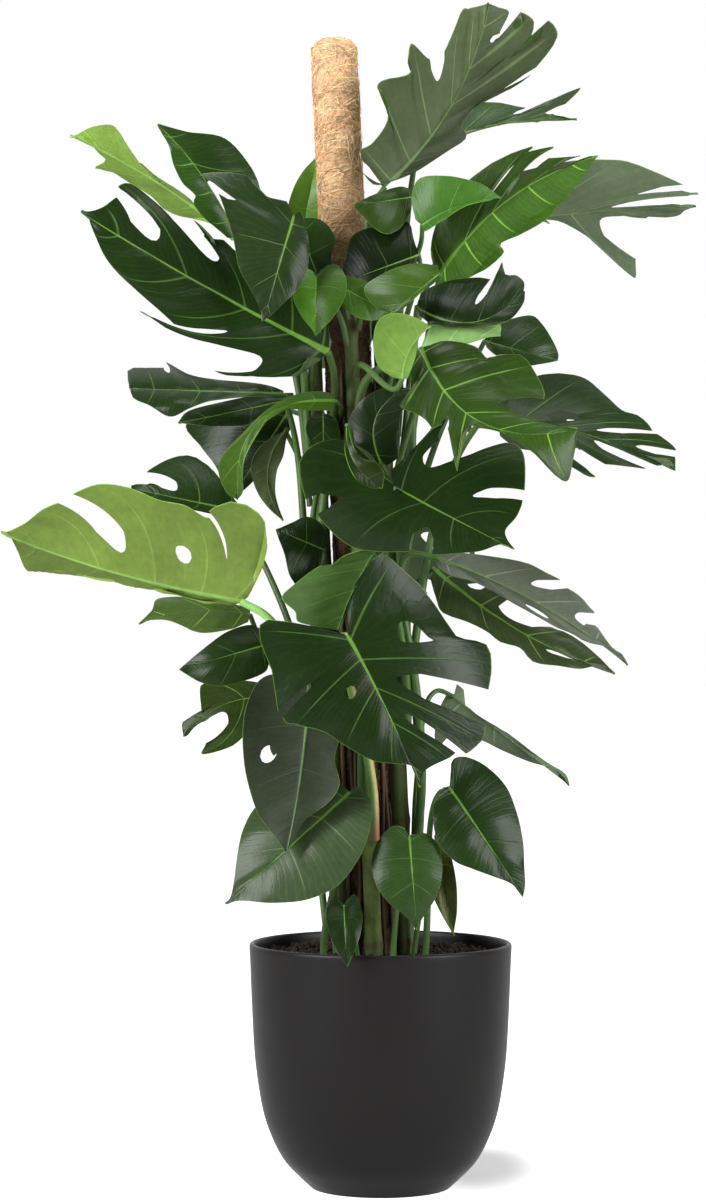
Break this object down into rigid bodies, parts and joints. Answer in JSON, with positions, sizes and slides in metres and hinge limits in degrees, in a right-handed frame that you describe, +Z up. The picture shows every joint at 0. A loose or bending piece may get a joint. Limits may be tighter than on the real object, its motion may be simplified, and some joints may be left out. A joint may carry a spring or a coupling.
{
  "type": "potted swiss cheese plant",
  "caption": "Climbing Monstera with slit and heart-shaped leaves on a coir pole, standing in soil in a matt dark round pot.",
  "frame": {"origin": "centre of the pot's flat foot, on the floor", "axes": "+Z up along the pot's axis and the plant's height, +X to the viewer's right and -Y towards the viewer of the pictured side"},
  "size_m": [0.7918, 0.4812, 1.3533],
  "materials": {
    "pot": "matt near-black, softly sheened, unmarked",
    "soil": "dark brown crumbly potting mix",
    "coir": "tan coconut fibre wound with thread, with loose hairs",
    "core": "plain sawn stake",
    "stem": "smooth green to brown bark with leaf scars",
    "leaf_dark": "glossy dark green leaf with paler veins",
    "leaf_mid": "satin mid green leaf",
    "leaf_light": "satin light green young leaf",
    "leaf_under": "matt grey-green underside with raised veins",
    "leaf_old": "dry reddish-brown old leaf"
  },
  "bodies": {
    "root": {"pot": "pot", "pole_core": "core", "coir_sleeve": "coir", "soil": "soil", "stem_front": "stem", "stem_right": "stem", "stem_back": "stem", "stem_left": "stem", "leaf_top": "leaf_under", "leaf_crown_right": "leaf_dark", "leaf_fingered_right": "leaf_dark", "leaf_far_right": "leaf_under", "leaf_crown_left": "leaf_light", "leaf_crown_left_dark": "leaf_dark", "leaf_hanging_left": "leaf_dark", "leaf_crown_slip": "leaf_light", "leaf_crown_young": "leaf_light", "leaf_crown_centre": "leaf_light", "leaf_crown_dark": "leaf_dark", "leaf_crown_round": "leaf_dark", "leaf_great_left": "leaf_dark", "leaf_folded_young": "leaf_light", "leaf_folded_centre": "leaf_light", "leaf_bright_centre": "leaf_light", "leaf_glossy_right": "leaf_dark", "leaf_glossy_bright": "leaf_mid", "leaf_young_front": "leaf_light", "leaf_sweeping_right": "leaf_dark", "leaf_round_right": "leaf_dark", "leaf_star_right": "leaf_dark", "leaf_pleated_left": "leaf_dark", "leaf_dusky_left": "leaf_dark", "leaf_shaded_left": "leaf_dark", "leaf_hanging_young": "leaf_light", "leaf_small_centre": "leaf_dark", "leaf_hanging_grey": "leaf_under", "leaf_claw_left": "leaf_dark", "leaf_round_centre": "leaf_dark", "leaf_unfurling": "leaf_light", "leaf_wide_centre": "leaf_dark", "leaf_great_pale_left": "leaf_under", "leaf_small_left": "leaf_dark", "leaf_low_left": "leaf_dark", "leaf_low_left_back": "leaf_dark", "leaf_shaded_centre": "leaf_dark", "leaf_pale_centre": "leaf_under", "leaf_great_centre": "leaf_dark", "leaf_pale_right": "leaf_under", "leaf_shaded_right": "leaf_dark", "leaf_narrow_right": "leaf_under", "leaf_hanging_slit": "leaf_under", "leaf_heart_left": "leaf_mid", "leaf_heart_right": "leaf_mid", "leaf_heart_front": "leaf_dark", "leaf_over_rim": "leaf_mid", "leaf_old_sheath": "leaf_old", "leaf_back_high": "leaf_dark", "leaf_back_right": "leaf_dark", "leaf_back_middle": "leaf_dark", "leaf_back_low": "leaf_dark"}
  },
  "joints": []
}
